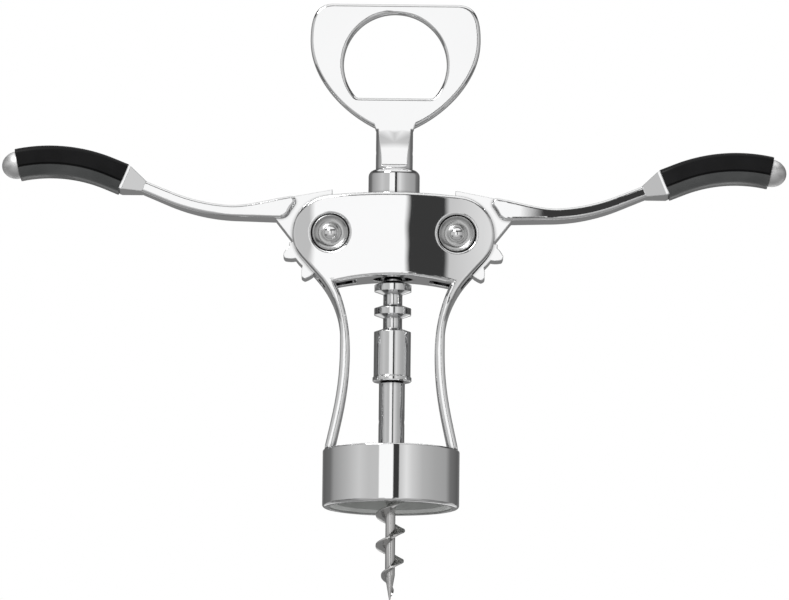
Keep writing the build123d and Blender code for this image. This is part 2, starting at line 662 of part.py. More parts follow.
def flight_section(z):
    """The flight's wedge in the axial plane that it reaches at a height."""
    core, outer = worm_radii(z)
    angle = radians(360 * (z - WORM_PHASE_Z) / WORM_PITCH)
    share = max(FLIGHT_LEAST_SHARE, (outer - core) / (WORM_RADIUS - WORM_CORE))
    half_root = WORM_PITCH * FLIGHT_ROOT_SHARE / 2 * share
    half_edge = min(WORM_EDGE, half_root) / 2
    foot = min(core * FLIGHT_SINK, outer / 2)
    corners = [(foot, -half_root), (outer, -half_edge), (outer, half_edge), (foot, half_root)]
    wedge = Polyline(*corners, close=True)
    plane = Plane((0, 0, z), x_dir=(cos(angle), sin(angle), 0), z_dir=(sin(angle), -cos(angle), 0))
    return plane * make_face(wedge)


def worm_flight():
    """The right-handed flight, lofted through axial sections up the worm."""
    start_z = WORM_TIP_Z + FLIGHT_START
    end_z = COLLAR_BOTTOM_Z - FLIGHT_END
    steps = round((end_z - start_z) / WORM_PITCH * SECTIONS_PER_TURN)
    sections = [flight_section(start_z + (end_z - start_z) * i / steps) for i in range(steps + 1)]
    return loft(sections, ruled=True)


def worm():
    shank_top = NECK_BOTTOM_Z + SHANK_DEPTH
    core = turned_points(
        [
            (0, WORM_TIP_Z),
            (WORM_POINT_RADIUS, WORM_TIP_Z),
            (WORM_CORE, WORM_TIP_Z + WORM_POINT * CORE_TAPER),
            (WORM_CORE, COLLAR_BOTTOM_Z - FLIGHT_END - 2 * SHANK_CONE),
            (SHANK_RADIUS, COLLAR_BOTTOM_Z - FLIGHT_END - SHANK_CONE),
            (SHANK_RADIUS, shank_top - TURNED_EDGE),
            (SHANK_RADIUS - TURNED_EDGE, shank_top),
            (0, shank_top),
        ]
    )
    body = core + worm_flight()
    for z in (collar_pin_z(), handle_pin_z()):
        body -= cross_pin_hole(z, PIN_RADIUS + SEATED_FIT)
    return body


# ---------------------------------------------------------------- handle with the bottle opener
def plate_outline():
    corner_x = PLATE_HALF_WIDTH - PLATE_CORNER
    top_corner = Bezier(
        (corner_x, PLATE_TOP_Z),
        (PLATE_HALF_WIDTH - PLATE_CORNER_PULL * PLATE_CORNER, PLATE_TOP_Z),
        (PLATE_HALF_WIDTH, PLATE_WIDEST_Z + PLATE_CORNER),
        (PLATE_HALF_WIDTH, PLATE_WIDEST_Z),
    )
    drop = PLATE_WIDEST_Z - SHOULDER_Z
    lower_side = Bezier(
        (PLATE_HALF_WIDTH, PLATE_WIDEST_Z),
        (PLATE_HALF_WIDTH, PLATE_WIDEST_Z - PLATE_SIDE_PULL * drop),
        (PLATE_HALF_WIDTH * PLATE_FOOT_WIDTH, SHOULDER_Z + PLATE_FOOT_RISE * drop),
        (SPINDLE_RADIUS + NECK_CORNER, SHOULDER_Z - NECK_CORNER),
    )
    foot = lower_side @ 1
    neck_side = (SPINDLE_RADIUS, foot.Y - 3 * NECK_CORNER)
    edges = [
        Line((0, PLATE_TOP_Z), (corner_x, PLATE_TOP_Z)),
        top_corner,
        lower_side,
        Line(foot, neck_side),
        Line(neck_side, (SPINDLE_RADIUS, NECK_BOTTOM_Z)),
        Line((SPINDLE_RADIUS, NECK_BOTTOM_Z), (0, NECK_BOTTOM_Z)),
        Line((0, NECK_BOTTOM_Z), (0, PLATE_TOP_Z)),
    ]
    return both_halves(make_face(edges))


def opener_hole():
    lip_z = HOLE_Z - HOLE_FLAT_DROP
    below = Pos(0, lip_z - HOLE_RADIUS) * Rectangle(4 * HOLE_RADIUS, 2 * HOLE_RADIUS)
    hole = Pos(0, HOLE_Z) * Circle(HOLE_RADIUS) - below
    corners = [vertex for vertex in hole.vertices() if abs(vertex.Y - lip_z) < 0.01]
    return fillet(corners, HOLE_CORNER)


def handle_profile():
    """Side view: round neck, flats that run out in a hollow, then the flat plate."""
    blend_z = SHOULDER_Z + PLATE_BLEND
    flat_z = NECK_FLAT_Z + 0.4 * NECK_RUNOUT
    start_z = flat_z - NECK_RUNOUT
    outer_y = SPINDLE_RADIUS + 1
    taper_pull = (blend_z - flat_z) / 3
    runout = Bezier(
        (outer_y, start_z),
        (NECK_FLAT_DEPTH, start_z + 0.4 * NECK_RUNOUT),
        (NECK_FLAT_DEPTH, start_z + 0.5 * NECK_RUNOUT),
        (NECK_FLAT_DEPTH, flat_z),
    )
    taper = Bezier(
        (NECK_FLAT_DEPTH, flat_z),
        (NECK_FLAT_DEPTH, flat_z + taper_pull),
        (PLATE_HALF_DEPTH, blend_z - taper_pull),
        (PLATE_HALF_DEPTH, blend_z),
    )
    top_z = PLATE_TOP_Z + OVERCUT
    bottom_z = NECK_BOTTOM_Z - OVERCUT
    edges = [
        runout,
        taper,
        Line((PLATE_HALF_DEPTH, blend_z), (PLATE_HALF_DEPTH, top_z)),
        Line((PLATE_HALF_DEPTH, top_z), (0, top_z)),
        Line((0, top_z), (0, bottom_z)),
        Line((0, bottom_z), (outer_y, bottom_z)),
        Line((outer_y, bottom_z), (outer_y, start_z)),
    ]
    return extrude(Plane.YZ * both_halves(make_face(edges)), FAR / 2, both=True)


def handle():
    plate = front(plate_outline() - opener_hole(), 4 * SPINDLE_RADIUS)
    blank = turned_points(
        [
            (0, NECK_BOTTOM_Z),
            (SPINDLE_RADIUS, NECK_BOTTOM_Z),
            (SPINDLE_RADIUS, SHOULDER_Z - BLANK_STEP),
            (FAR, SHOULDER_Z + 6 * BLANK_STEP),
            (FAR, FAR),
            (0, FAR),
        ]
    )
    body = plate & handle_profile() & blank
    flat_edges = [edge for edge in body.edges() if edge.bounding_box().size.Y < TINY]
    on_plate = [edge for edge in flat_edges if abs(abs(edge.center().Y) - PLATE_HALF_DEPTH) < 2 * TINY]
    lowest_z = SHOULDER_Z + PLATE_BLEND + TINY
    body = fillet([edge for edge in on_plate if edge.center().Z > lowest_z], PLATE_EDGE)
    flank = turned_points(
        [(0, SLEEVE_TOP_Z), (SPINDLE_ROOT, SLEEVE_TOP_Z), (SPINDLE_RADIUS, NECK_BOTTOM_Z), (0, NECK_BOTTOM_Z)]
    )
    body += flank
    socket_top = NECK_BOTTOM_Z + SHANK_DEPTH + SEATED_FIT
    body -= ring(SHANK_RADIUS + SEATED_FIT, 0, SLEEVE_TOP_Z - OVERCUT, socket_top)
    return body - cross_pin_hole(handle_pin_z(), PIN_RADIUS + SEATED_FIT)


# ---------------------------------------------------------------- levers, drawn for the right side
def out_from_pivot(point):
    """A point of the right lever, given as (out, up) from its pivot."""
    return (PIVOT_X + point[0], PIVOT_Z + point[1])


def arm_geometry():
    """Centres of the arm's two bends and the angle of the straight stretch that joins them."""
    low = out_from_pivot((ARM_LOW[0], ARM_LOW[1] + ARM_BEND))
    high = out_from_pivot((GRIP_HIGH[0], GRIP_HIGH[1] - GRIP_BEND))
    across, down = high[0] - low[0], low[1] - high[1]
    lean = degrees(acos((ARM_BEND + GRIP_BEND) / sqrt(across**2 + down**2)))
    slope = 90 - degrees(atan2(down, across)) - lean
    return low, high, slope


def arm_parallel(offset, end_angle):
    """A parallel of the arm's centre line, from its lowest point to an angle past the grip's top."""
    low, high, slope = arm_geometry()
    inner = ARM_BEND - offset
    outer = GRIP_BEND + offset
    bend_end = at_angle(low, inner, slope - 90)
    bend_start = at_angle(high, outer, slope + 90)
    return [
        arc_about(low, inner, -90, slope - 90),
        Line(bend_end, bend_start),
        arc_about(high, outer, slope + 90, 90 - end_angle),
    ]


def band(height, end_angle):
    """The strip of even height along the arm's centre line."""
    lower = arm_parallel(-height / 2, end_angle)
    upper = arm_parallel(height / 2, end_angle)
    ends = [Line(lower[0] @ 0, upper[0] @ 0), Line(lower[-1] @ 1, upper[-1] @ 1)]
    return make_face(lower + upper + ends)


def ferrule_plane(along=0.0):
    """A plane across the arm, some way past the ferrule's start: its y runs up across the arm."""
    low, _, slope = arm_geometry()
    straight = at_angle(low, ARM_BEND, slope - 90)
    x = PIVOT_X + FERRULE_START
    z = straight[1] + (x - straight[0]) * tan(radians(slope))
    direction = Vector(cos(radians(slope)), 0, sin(radians(slope)))
    return Plane(Vector(x, 0, z) + direction * along, x_dir=(0, 1, 0), z_dir=direction)


def beyond_ferrule(along):
    """Everything further out than a section across the arm."""
    return ferrule_plane(along) * extrude(Rectangle(FAR, FAR), FAR)


def arm_plan():
    """Plan of the arm: deep at its shoulder, slimmer towards the grip."""
    x0 = PIVOT_X
    x1 = PIVOT_X + FERRULE_START + FERRULE_LENGTH / 2
    length = x1 - x0
    side = Bezier(
        (x0, ARM_HALF_DEPTH),
        (x0 + ARM_SHOULDER_SHARE * length, ARM_HALF_DEPTH + ARM_SWELL),
        (x0 + ARM_TAPER_SHARE * length, ARM_END_HALF_DEPTH),
        (x1, ARM_END_HALF_DEPTH),
    )
    half = make_face([side, Line(side @ 1, (x1, 0)), Line((x1, 0), (x0, 0)), Line((x0, 0), side @ 0)])
    return extrude(both_halves(half, Plane.XZ), FAR)


def arm_heel():
    """The corner where the arm's underside meets the hub plate's lower edge."""
    x, z = out_from_pivot((HUB_LINE_END[0], ARM_LOW[1] - ARM_THICKNESS / 2))
    return (x + ARM_HEEL_OUT, z - ARM_HEEL_DROP)


def arm_root():
    """The part of the arm that thickens towards the hub plate's upper line."""
    low, _, _ = arm_geometry()
    start = out_from_pivot(HUB_LINE_START)
    end = out_from_pivot(HUB_LINE_END)
    radius = ARM_BEND - ARM_THICKNESS / 2
    lean = (start[1] - end[1]) / (end[0] - start[0])
    meet = at_angle(low, radius, -90 + ROOT_MEET_ANGLE)
    pull = (meet[0] - end[0]) * ROOT_PULL
    upper = Bezier(
        end,
        (end[0] + pull, end[1] - pull * lean),
        (meet[0] - pull, meet[1] - pull * tan(radians(ROOT_MEET_ANGLE))),
        meet,
    )
    inner_x = PIVOT_X + HUB_RADIUS / 2
    bottom = low[1] - ARM_BEND - ARM_THICKNESS / 2
    heel = arm_heel()
    edges = [
        Line((inner_x, end[1] + lean * (end[0] - inner_x)), end),
        upper,
        Line(meet, (meet[0], meet[1] - ARM_THICKNESS)),
        Line((meet[0], meet[1] - ARM_THICKNESS), (low[0], bottom)),
        Line((low[0], bottom), heel),
        Line(heel, (inner_x, heel[1])),
        Line((inner_x, heel[1]), (inner_x, end[1] + lean * (end[0] - inner_x))),
    ]
    return make_face(edges)


def from_pivot(place):
    """How far a place is from the pivot's axis."""
    return dist((PIVOT_X, PIVOT_Z), (place.X, place.Z))


def lever_arm():
    body = front(band(ARM_THICKNESS, 0) + arm_root(), FAR) & arm_plan()
    body -= cross_rod(ARM_SHOULDER, -FAR, FAR, PIVOT_X, PIVOT_Z)
    across = [edge for edge in body.edges() if edge.length - edge.bounding_box().size.Y < TINY]
    shoulder = [edge for edge in across if abs(from_pivot(edge.center()) - ARM_SHOULDER) < TINY]
    tip, heel = sorted(shoulder, key=lambda edge: edge.center().Z, reverse=True)
    body = fillet(heel, ARM_HEEL_ROUND)
    body = fillet(body.edges().sort_by_distance(tip.center())[0], ARM_TIP_ROUND)
    body = fillet(rim_edges(body), ARM_EDGE)
    return body - beyond_ferrule(ARM_EDGE / 2)


def lever_ferrule():
    """The flared block that the grip butts against."""
    small = ferrule_plane() * Rectangle(2 * ARM_END_HALF_DEPTH, ARM_THICKNESS)
    large = ferrule_plane(FERRULE_LENGTH) * Rectangle(2 * FERRULE_HALF_DEPTH, FERRULE_HEIGHT)
    return loft([small, large]) + extrude(large, FERRULE_RIM)


def lever_tang():
    end_angle = GRIP_END_ANGLE - degrees(TANG_SHORTFALL / GRIP_BEND)
    strip = front(band(TANG_HEIGHT, end_angle), 2 * TANG_HALF_DEPTH)
    return strip & beyond_ferrule(FERRULE_LENGTH / 2)


def hub_plate():
    """Face of the hub about the pivot, with its teeth and the plate that runs into the arm."""
    heel = arm_heel()
    outline = [
        out_from_pivot(HUB_LINE_START),
        out_from_pivot(HUB_LINE_END),
        (heel[0] + ARM_THICKNESS, heel[1] + ARM_THICKNESS * 0.6),
        (heel[0] + ARM_THICKNESS, heel[1] + ARM_THICKNESS * 0.2),
        heel,
        out_from_pivot(HUB_HEEL),
        (PIVOT_X, PIVOT_Z),
    ]
    plate = make_face(Polyline(*outline, close=True))
    return plate + Pos(PIVOT_X, PIVOT_Z) * gear_sector()


def lever():
    hub = front(hub_plate(), 2 * HUB_HALF)
    body = hub + lever_arm() + lever_ferrule() + lever_tang()
    return body - cross_rod(PIVOT_PIN_RADIUS + RUNNING_FIT, -FAR, FAR, PIVOT_X, PIVOT_Z)


def grip():
    """The moulded grip: crowned above, bevelled below, hollow along the tang."""
    body = front(band(GRIP_HEIGHT, GRIP_END_ANGLE), 2 * GRIP_HALF_DEPTH)
    body &= beyond_ferrule(FERRULE_LENGTH + FERRULE_RIM)
    body = fillet(grip_edges(body, 1), GRIP_CROWN)
    body = chamfer(grip_edges(body, -1), GRIP_BEVEL)
    channel_band = band(TANG_HEIGHT + 2 * SEATED_FIT, GRIP_END_ANGLE + OVERCUT)
    return body - front(channel_band, 2 * (TANG_HALF_DEPTH + SEATED_FIT))


def grip_edges(body, side):
    """The long edges along the grip's top, side 1, or along its bottom, side -1."""
    _, high, _ = arm_geometry()
    outer = [edge for edge in body.edges() if abs(abs((edge @ 0.5).Y) - GRIP_HALF_DEPTH) < TINY]
    along = [edge for edge in outer if edge.bounding_box().size.Y < TINY and abs((edge % 0.5).X) > 0.5]
    middles = [(edge, edge @ 0.5) for edge in along]
    rises = [(edge, sqrt((m.X - high[0]) ** 2 + (m.Z - high[1]) ** 2) - GRIP_BEND) for edge, m in middles]
    return [edge for edge, rise in rises if rise * side > GRIP_HEIGHT * 0.4]


def end_cap():
    """A half ellipsoid on the grip's end, with a spigot in the grip's channel."""
    _, high, _ = arm_geometry()
    center = at_angle(high, GRIP_BEND, 90 - GRIP_END_ANGLE)
    place = Pos(center[0], 0, center[1]) * Rot(Y=GRIP_END_ANGLE)
    length = SPIGOT_LENGTH + END_CAP_LENGTH / 2
    height = TANG_HEIGHT - 3 * SPIGOT_ROOM
    spigot = Pos(length / 2 - SPIGOT_LENGTH, 0, 0) * Box(length, 2 * (TANG_HALF_DEPTH - SPIGOT_ROOM), height)
    return place * (end_dome() + spigot)


def end_dome():
    """Half an ellipsoid about X, as high and as deep as the end cap."""
    ball = scale(Sphere(1), by=(END_CAP_LENGTH, END_CAP_HALF_DEPTH, END_CAP_HEIGHT / 2))
    return ball - Pos(-FAR / 2, 0, 0) * Box(FAR, FAR, FAR)


def write(name, shape):
    shape.label = name
    export_step(shape, f"parts/{name}.step")


def main():
    os.makedirs("parts", exist_ok=True)
    write("frame", frame())
    write("bell_liner", bell_liner())
    write("spindle_bush", spindle_bush())
    write("rack_sleeve", rack_sleeve())
    write("worm_collar", worm_collar())
    write("worm_collar_pin", cross_pin(collar_pin_z(), COLLAR_RADIUS))
    write("worm", worm())
    write("opener_handle", handle())
    write("handle_pin", cross_pin(handle_pin_z(), SPINDLE_RADIUS))
    for name, shape in (("lever", lever()), ("grip", grip()), ("end_cap", end_cap())):
        write(f"{name}_right", shape)
        write(f"{name}_left", mirrored(shape))
    for side, x in (("right", PIVOT_X), ("left", -PIVOT_X)):
        write(f"pivot_pin_{side}", pivot_pin(x))
        write(f"pivot_cap_front_{side}", pivot_cap(x, -1))
        write(f"pivot_cap_back_{side}", pivot_cap(x, 1))


main()
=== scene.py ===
"""Looks of a lever corkscrew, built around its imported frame.

Lengths are in metres in the frame's own axes: +Z up along the worm, +X to the right, the front
facing -Y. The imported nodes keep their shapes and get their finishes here. Only the two moulded
grips are modelled again, with finer meshes.
"""
import json
import logging
import math
from dataclasses import dataclass, field
from enum import Enum

import bmesh
import bpy
from mathutils import Matrix, Vector


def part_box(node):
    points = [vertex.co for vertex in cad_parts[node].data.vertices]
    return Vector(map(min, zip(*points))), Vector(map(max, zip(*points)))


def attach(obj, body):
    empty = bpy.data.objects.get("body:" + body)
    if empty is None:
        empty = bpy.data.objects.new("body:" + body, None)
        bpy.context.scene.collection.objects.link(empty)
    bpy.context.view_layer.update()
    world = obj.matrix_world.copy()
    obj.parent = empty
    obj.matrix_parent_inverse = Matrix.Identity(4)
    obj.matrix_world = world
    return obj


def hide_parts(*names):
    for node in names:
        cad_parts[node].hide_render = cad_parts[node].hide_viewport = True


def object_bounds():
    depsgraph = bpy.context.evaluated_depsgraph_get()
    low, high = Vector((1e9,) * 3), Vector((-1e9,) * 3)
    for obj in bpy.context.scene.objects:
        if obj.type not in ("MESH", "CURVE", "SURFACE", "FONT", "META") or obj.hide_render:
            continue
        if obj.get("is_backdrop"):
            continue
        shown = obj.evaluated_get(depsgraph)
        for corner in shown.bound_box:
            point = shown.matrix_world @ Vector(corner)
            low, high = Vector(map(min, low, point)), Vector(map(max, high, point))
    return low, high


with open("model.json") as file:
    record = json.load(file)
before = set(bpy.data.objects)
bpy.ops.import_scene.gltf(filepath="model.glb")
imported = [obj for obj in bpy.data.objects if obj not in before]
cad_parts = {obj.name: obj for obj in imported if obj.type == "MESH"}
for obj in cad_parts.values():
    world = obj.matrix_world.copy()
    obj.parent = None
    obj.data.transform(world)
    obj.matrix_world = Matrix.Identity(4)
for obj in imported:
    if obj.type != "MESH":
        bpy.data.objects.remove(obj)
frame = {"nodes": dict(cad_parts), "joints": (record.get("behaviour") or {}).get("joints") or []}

log = logging.getLogger("corkscrew")

MM = 0.001
BEVEL_SAMPLES = 6
CREVICE_SAMPLES = 8
MIX_SHARE = 0  # the Mix node's inputs and output, when it mixes colours
MIX_LOW = 6
MIX_HIGH = 7
MIX_COLOUR = 2
HAZE_SPREAD = 1.7  # size of the hazy patches and of the tints, against the plating's swell
TINT_SPREAD = 2.3
HAZE_RANGE = (0.45, 0.75)
OPEN_RANGE = (0.25, 0.85)  # openness that gets the full painted crevice shade, and openness that gets none
SWELL_DETAIL = 1.0
MARK_DETAIL = 3.0
HAZE_DETAIL = 4.0
PATCH_SIZE = 12 * MM  # patches that hands polished on the mouldings
PATCH_RANGE = (0.35, 0.7)
PATCH_DETAIL = 3.0

Rgb = tuple[float, float, float]


class Side(Enum):
    """The two sides of the corkscrew, as the sign of their X."""

    LEFT = -1
    RIGHT = 1

    @property
    def word(self) -> str:
        """The side's name, as the nodes end in it."""
        return self.name.lower()


class Grain(Enum):
    """The ways in which a metal was worked, by how its fine marks run."""

    BUFFED = (1.0, 1.0, 1.0)
    TURNED = (0.06, 0.06, 1.0)
    DRAWN = (1.0, 1.0, 0.08)


# ------------------------------------------------------------------------------------ shader tools
class Wire:
    """A shader socket that Python's operators carry on into Math nodes."""

    def __init__(self, sheet: "Sheet", socket: bpy.types.NodeSocket) -> None:
        """Keeps the socket and the sheet that new nodes go on.

        Args:
            sheet: The node sheet.
            socket: The output socket that this wire starts from.
        """
        self.sheet = sheet
        self.socket = socket

    def _math(self, operation: str, *values: "Wire | float") -> "Wire":
        """Adds a Math node.

        Args:
            operation: The node's operation.
            values: Its inputs, in order.

        Returns:
            The node's result.
        """
        node = self.sheet.add("ShaderNodeMath", {"operation": operation}, dict(enumerate(values)))
        return Wire(self.sheet, node.outputs[0])

    def __add__(self, other: "Wire | float") -> "Wire":
        """The sum."""
        return self._math("ADD", self, other)

    __radd__ = __add__

    def __sub__(self, other: "Wire | float") -> "Wire":
        """The difference."""
        return self._math("SUBTRACT", self, other)

    def __rsub__(self, other: float) -> "Wire":
        """A number less this."""
        return self._math("SUBTRACT", other, self)

    def __mul__(self, other: "Wire | float") -> "Wire":
        """The product."""
        return self._math("MULTIPLY", self, other)

    __rmul__ = __mul__

    def __truediv__(self, other: "Wire | float") -> "Wire":
        """The quotient."""
        return self._math("DIVIDE", self, other)

    def fraction(self) -> "Wire":
        """What is left above the whole number below."""
        return self._math("FRACT", self)

    def turn_from(self, other: "Wire") -> "Wire":
        """The angle whose sine is this and whose cosine is the other, in radians."""
        return self._math("ARCTAN2", self, other)

    def between(self, low: float, high: float) -> "Wire":
        """This, moved and stretched so that low gives 0 and high gives 1, and kept within them.

        Args:
            low: The value that gives 0.
            high: The value that gives 1.

        Returns:
            The share from 0 to 1.
        """
        sockets = {"Value": self, "From Min": low, "From Max": high}
        return Wire(self.sheet, self.sheet.add("ShaderNodeMapRange", {"clamp": True}, sockets).outputs[0])


class Sheet:
    """The node sheet of a finish or of the surroundings."""

    def __init__(self, tree: bpy.types.NodeTree) -> None:
        """Empties a node tree and starts afresh.

        Args:
            tree: The node tree.
        """
        self.tree = tree
        tree.nodes.clear()

    def add(self, kind: str, settings: dict | None = None, sockets: dict | None = None) -> bpy.types.Node:
        """Adds one node.

        Args:
            kind: The node's type.
            settings: What to set on it first. The key stops holds a ramp's (place, grey) pairs.
            sockets: Values or wires for its inputs, by name or number.

        Returns:
            The node.
        """
        node = self.tree.nodes.new(kind)
        for name, value in (settings or {}).items():
            if name == "stops":
                self._set_stops(node.color_ramp, value)
            else:
                setattr(node, name, value)
        for name, value in (sockets or {}).items():
            if isinstance(value, Wire):
                self.tree.links.new(value.socket, node.inputs[name])
            else:
                node.inputs[name].default_value = value
        return node

    @staticmethod
    def _set_stops(ramp: bpy.types.ColorRamp, stops: tuple[tuple[float, float], ...]) -> None:
        """Gives a ramp its stops.

        Args:
            ramp: The colour ramp.
            stops: (place, grey) pairs, in order.
        """
        while len(ramp.elements) < len(stops):
            ramp.elements.new(1.0)
        for element, (place, grey) in zip(ramp.elements, stops):
            element.position = place
            element.color = (grey, grey, grey, 1.0)

    def wire(
        self, kind: str, output: int | str, settings: dict | None = None, sockets: dict | None = None
    ) -> Wire:
        """Adds one node and takes one of its outputs.

        Args:
            kind: The node's type.
            output: The output's name or number.
            settings: What to set on it first.
            sockets: Values or wires for its inputs.

        Returns:
            The output.
        """
        return Wire(self, self.add(kind, settings, sockets).outputs[output])

    def object_place(self, stretch: tuple[float, float, float] = (1.0, 1.0, 1.0)) -> Wire:
        """The place on the object, stretched along its axes.

        Args:
            stretch: How much finer a pattern gets along each axis.

        Returns:
            The stretched place.
        """
        place = self.wire("ShaderNodeTexCoord", "Object")
        return self.wire("ShaderNodeMapping", 0, None, {"Vector": place, "Scale": stretch})

    def noise(self, place: Wire, size: float, detail: float = 2.0) -> Wire:
        """A soft random pattern.

        Args:
            place: Where it is read.
            size: How far apart its patches are, in metres.
            detail: How many finer patterns are laid over it.

        Returns:
            The pattern, about 0 to 1.
        """
        sockets = {"Vector": place, "Scale": 1.0 / size, "Detail": detail}
        return self.wire("ShaderNodeTexNoise", 0, None, sockets)

    def tint(self, share: Wire, low: "Wire | Rgb", high: "Wire | Rgb") -> Wire:
        """A colour between two.

        Args:
            share: 0 for the first and 1 for the second.
            low: The first colour.
            high: The second colour.

        Returns:
            The colour.
        """
        first, second = (end if isinstance(end, Wire) else (*end, 1.0) for end in (low, high))
        sockets = {MIX_SHARE: share, MIX_LOW: first, MIX_HIGH: second}
        return self.wire("ShaderNodeMix", MIX_COLOUR, {"data_type": "RGBA"}, sockets)

    def bump(self, height: Wire, depth: float, under: Wire | None = None) -> Wire:
        """A surface normal tilted by a height.

        Args:
            height: The height, 0 to 1.
            depth: What 1 stands for, in metres.
            under: The normal that it is laid over.

        Returns:
            The normal.
        """
        sockets = {"Height": height, "Distance": depth, "Strength": 1.0}
        if under is not None:
            sockets["Normal"] = under
        return self.wire("ShaderNodeBump", 0, None, sockets)

    def eased_edges(self, radius: float) -> Wire:
        """A surface normal that rounds every edge.

        Args:
            radius: The rounding's radius, in metres.

        Returns:
            The normal.
        """
        return self.wire("ShaderNodeBevel", 0, {"samples": BEVEL_SAMPLES}, {"Radius": radius})

    def openness(self, reach: float) -> Wire:
        """How open a place lies: 1 in the open and less in a crevice.

        Args:
            reach: How near a neighbour has to be to count, in metres.

        Returns:
            The openness, 0 to 1.
        """
        settings = {"samples": CREVICE_SAMPLES}
        return self.wire("ShaderNodeAmbientOcclusion", "AO", settings, {"Distance": reach})


def new_sheet(name: str) -> tuple[bpy.types.Material, Sheet]:
    """A new material with an empty node sheet.

    Args:
        name: The material's name.

    Returns:
        The material and its sheet.
    """
    material = bpy.data.materials.new(name)
    material.use_nodes = True
    return material, Sheet(material.node_tree)


def surface(sheet: Sheet, sockets: dict) -> None:
    """Ends a sheet in one Principled surface.

    Args:
        sheet: The sheet.
        sockets: The surface's inputs.
    """
    shader = sheet.wire("ShaderNodeBsdfPrincipled", 0, None, sockets)
    sheet.add("ShaderNodeOutputMaterial", None, {"Surface": shader})


# ------------------------------------------------------------------------------------ finishes
@dataclass(frozen=True)
class Plating:
    """Polished plating over metal: a faint swell, buffing marks, a breath of handling haze, and painted
    shade that darkens its colour in crevices and near other parts.
    """

    name: str
    dark: Rgb
    light: Rgb
    roughness: float
    haze: float
    grain: Grain
    swell_size: float
    swell_depth: float
    mark_size: float
    mark_depth: float
    edge: float  # radius of the eased edges
    crevice: float  # how near a neighbour has to be to darken the plating's colour with painted shade
    # The colour painted into crevices as shade, where neighbours block the light.
    crevice_tone: Rgb = (0.16, 0.16, 0.16)

    def build(self) -> bpy.types.Material:
        """Makes the material.

        Returns:
            The material.
        """
        material, sheet = new_sheet(self.name)
        place = sheet.object_place()
        along = sheet.object_place(self.grain.value)
        swell = sheet.noise(place, self.swell_size, SWELL_DETAIL)
        marks = sheet.noise(along, self.mark_size, MARK_DETAIL)
        haze = sheet.noise(place, self.swell_size * HAZE_SPREAD, HAZE_DETAIL).between(*HAZE_RANGE)
        eased = sheet.eased_edges(self.edge)
        normal = sheet.bump(marks, self.mark_depth, sheet.bump(swell, self.swell_depth, eased))
        rough = haze * self.haze + marks * (self.haze / 2) + self.roughness
        tone = sheet.tint(sheet.noise(place, self.swell_size * TINT_SPREAD), self.dark, self.light)
        # Painted shade: ambient occlusion pulls the base colour towards the shade tone in crevices and near
        # neighbouring parts.
        painted_shade_share = 1.0 - sheet.openness(self.crevice).between(*OPEN_RANGE)
        shaded = sheet.tint(painted_shade_share, tone, self.crevice_tone)
        surface(sheet, {"Base Color": shaded, "Metallic": 1.0, "Roughness": rough, "Normal": normal})
        return material


@dataclass(frozen=True)
class Moulding:
    """Moulded plastic or rubber: a fine grain and patches that hands have polished."""

    name: str
    dark: Rgb
    light: Rgb
    roughness: float
    polish: float
    grain_size: float
    grain_depth: float
    specular: float = 0.5

    def build(self) -> bpy.types.Material:
        """Makes the material.

        Returns:
            The material.
        """
        material, sheet = new_sheet(self.name)
        place = sheet.object_place()
        grain = sheet.noise(place, self.grain_size, MARK_DETAIL)
        patches = sheet.noise(place, PATCH_SIZE, PATCH_DETAIL).between(*PATCH_RANGE)
        normal = sheet.bump(grain, self.grain_depth)
        rough = self.roughness - patches * self.polish + grain * (self.polish / 2)
        tone = sheet.tint(patches, self.dark, self.light)
        sockets = {"Base Color": tone, "Roughness": rough, "Normal": normal}
        surface(sheet, {**sockets, "Specular IOR Level": self.specular})
        return material


CHROME = Plating(
    "bright_chrome", (0.82, 0.822, 0.825), (0.87, 0.871, 0.873), 0.012, 0.02,
    Grain.BUFFED, 16 * MM, 0.035 * MM, 0.5 * MM, 0.0003 * MM, 0.35 * MM, 1.5 * MM,
)
TURNED_CHROME = Plating(
    "turned_chrome", (0.74, 0.742, 0.745), (0.82, 0.822, 0.825), 0.03, 0.04,
    Grain.TURNED, 9 * MM, 0.012 * MM, 0.12 * MM, 0.0006 * MM, 0.3 * MM, 2.5 * MM,
)
# Its last colour is painted shade, nearly black, for the dark ring in the crevice round each cap.
PRESSED_CAP = Plating(
    "pressed_cap", (0.42, 0.422, 0.42), (0.56, 0.562, 0.56), 0.2, 0.12,
    Grain.BUFFED, 4 * MM, 0.012 * MM, 0.3 * MM, 0.0006 * MM, 0.2 * MM, 0.9 * MM, (0.04, 0.04, 0.04),
)
# Its last colour is the painted shade in the casting's crevices, round the rack's well and in the slots.
CAST_CHROME = Plating(
    "cast_chrome", (0.84, 0.842, 0.845), (0.88, 0.881, 0.883), 0.012, 0.02,
    Grain.BUFFED, 16 * MM, 0.05 * MM, 0.5 * MM, 0.0003 * MM, 0.4 * MM, 3.0 * MM, (0.1, 0.1, 0.1),
)
SATIN_CHROME = Plating(
    "satin_chrome", (0.90, 0.90, 0.90), (0.96, 0.96, 0.96), 0.42, 0.1,
    Grain.BUFFED, 5 * MM, 0.02 * MM, 0.3 * MM, 0.001 * MM, 0.3 * MM, 0.8 * MM,
)
WORM_STEEL = Plating(
    "nickelled_worm_steel", (0.56, 0.555, 0.55), (0.76, 0.755, 0.75), 0.07, 0.1,
    Grain.BUFFED, 3 * MM, 0.05 * MM, 0.25 * MM, 0.002 * MM, 0.25 * MM, 2.0 * MM,
)
BLACK_GRIP = Moulding(
    "black_moulded_grip", (0.004, 0.004, 0.0043), (0.008, 0.008, 0.0085), 0.38, 0.1,
    0.35 * MM, 0.012 * MM, 0.12,
)
# Lighter finish for the grip's lower bevel: the same black plastic, with the light it reflects from below
# painted into its colour.
GRIP_UNDERSIDE_PAINTED_LIGHT = Moulding(
    "grip_underside", (0.045, 0.047, 0.047), (0.07, 0.072, 0.072), 0.34, 0.1,
    0.35 * MM, 0.012 * MM, 0.4,
)
GREY_LINER = Moulding(
    "grey_liner", (0.34, 0.35, 0.34), (0.42, 0.43, 0.42), 0.5, 0.1,
    0.3 * MM, 0.008 * MM,
)


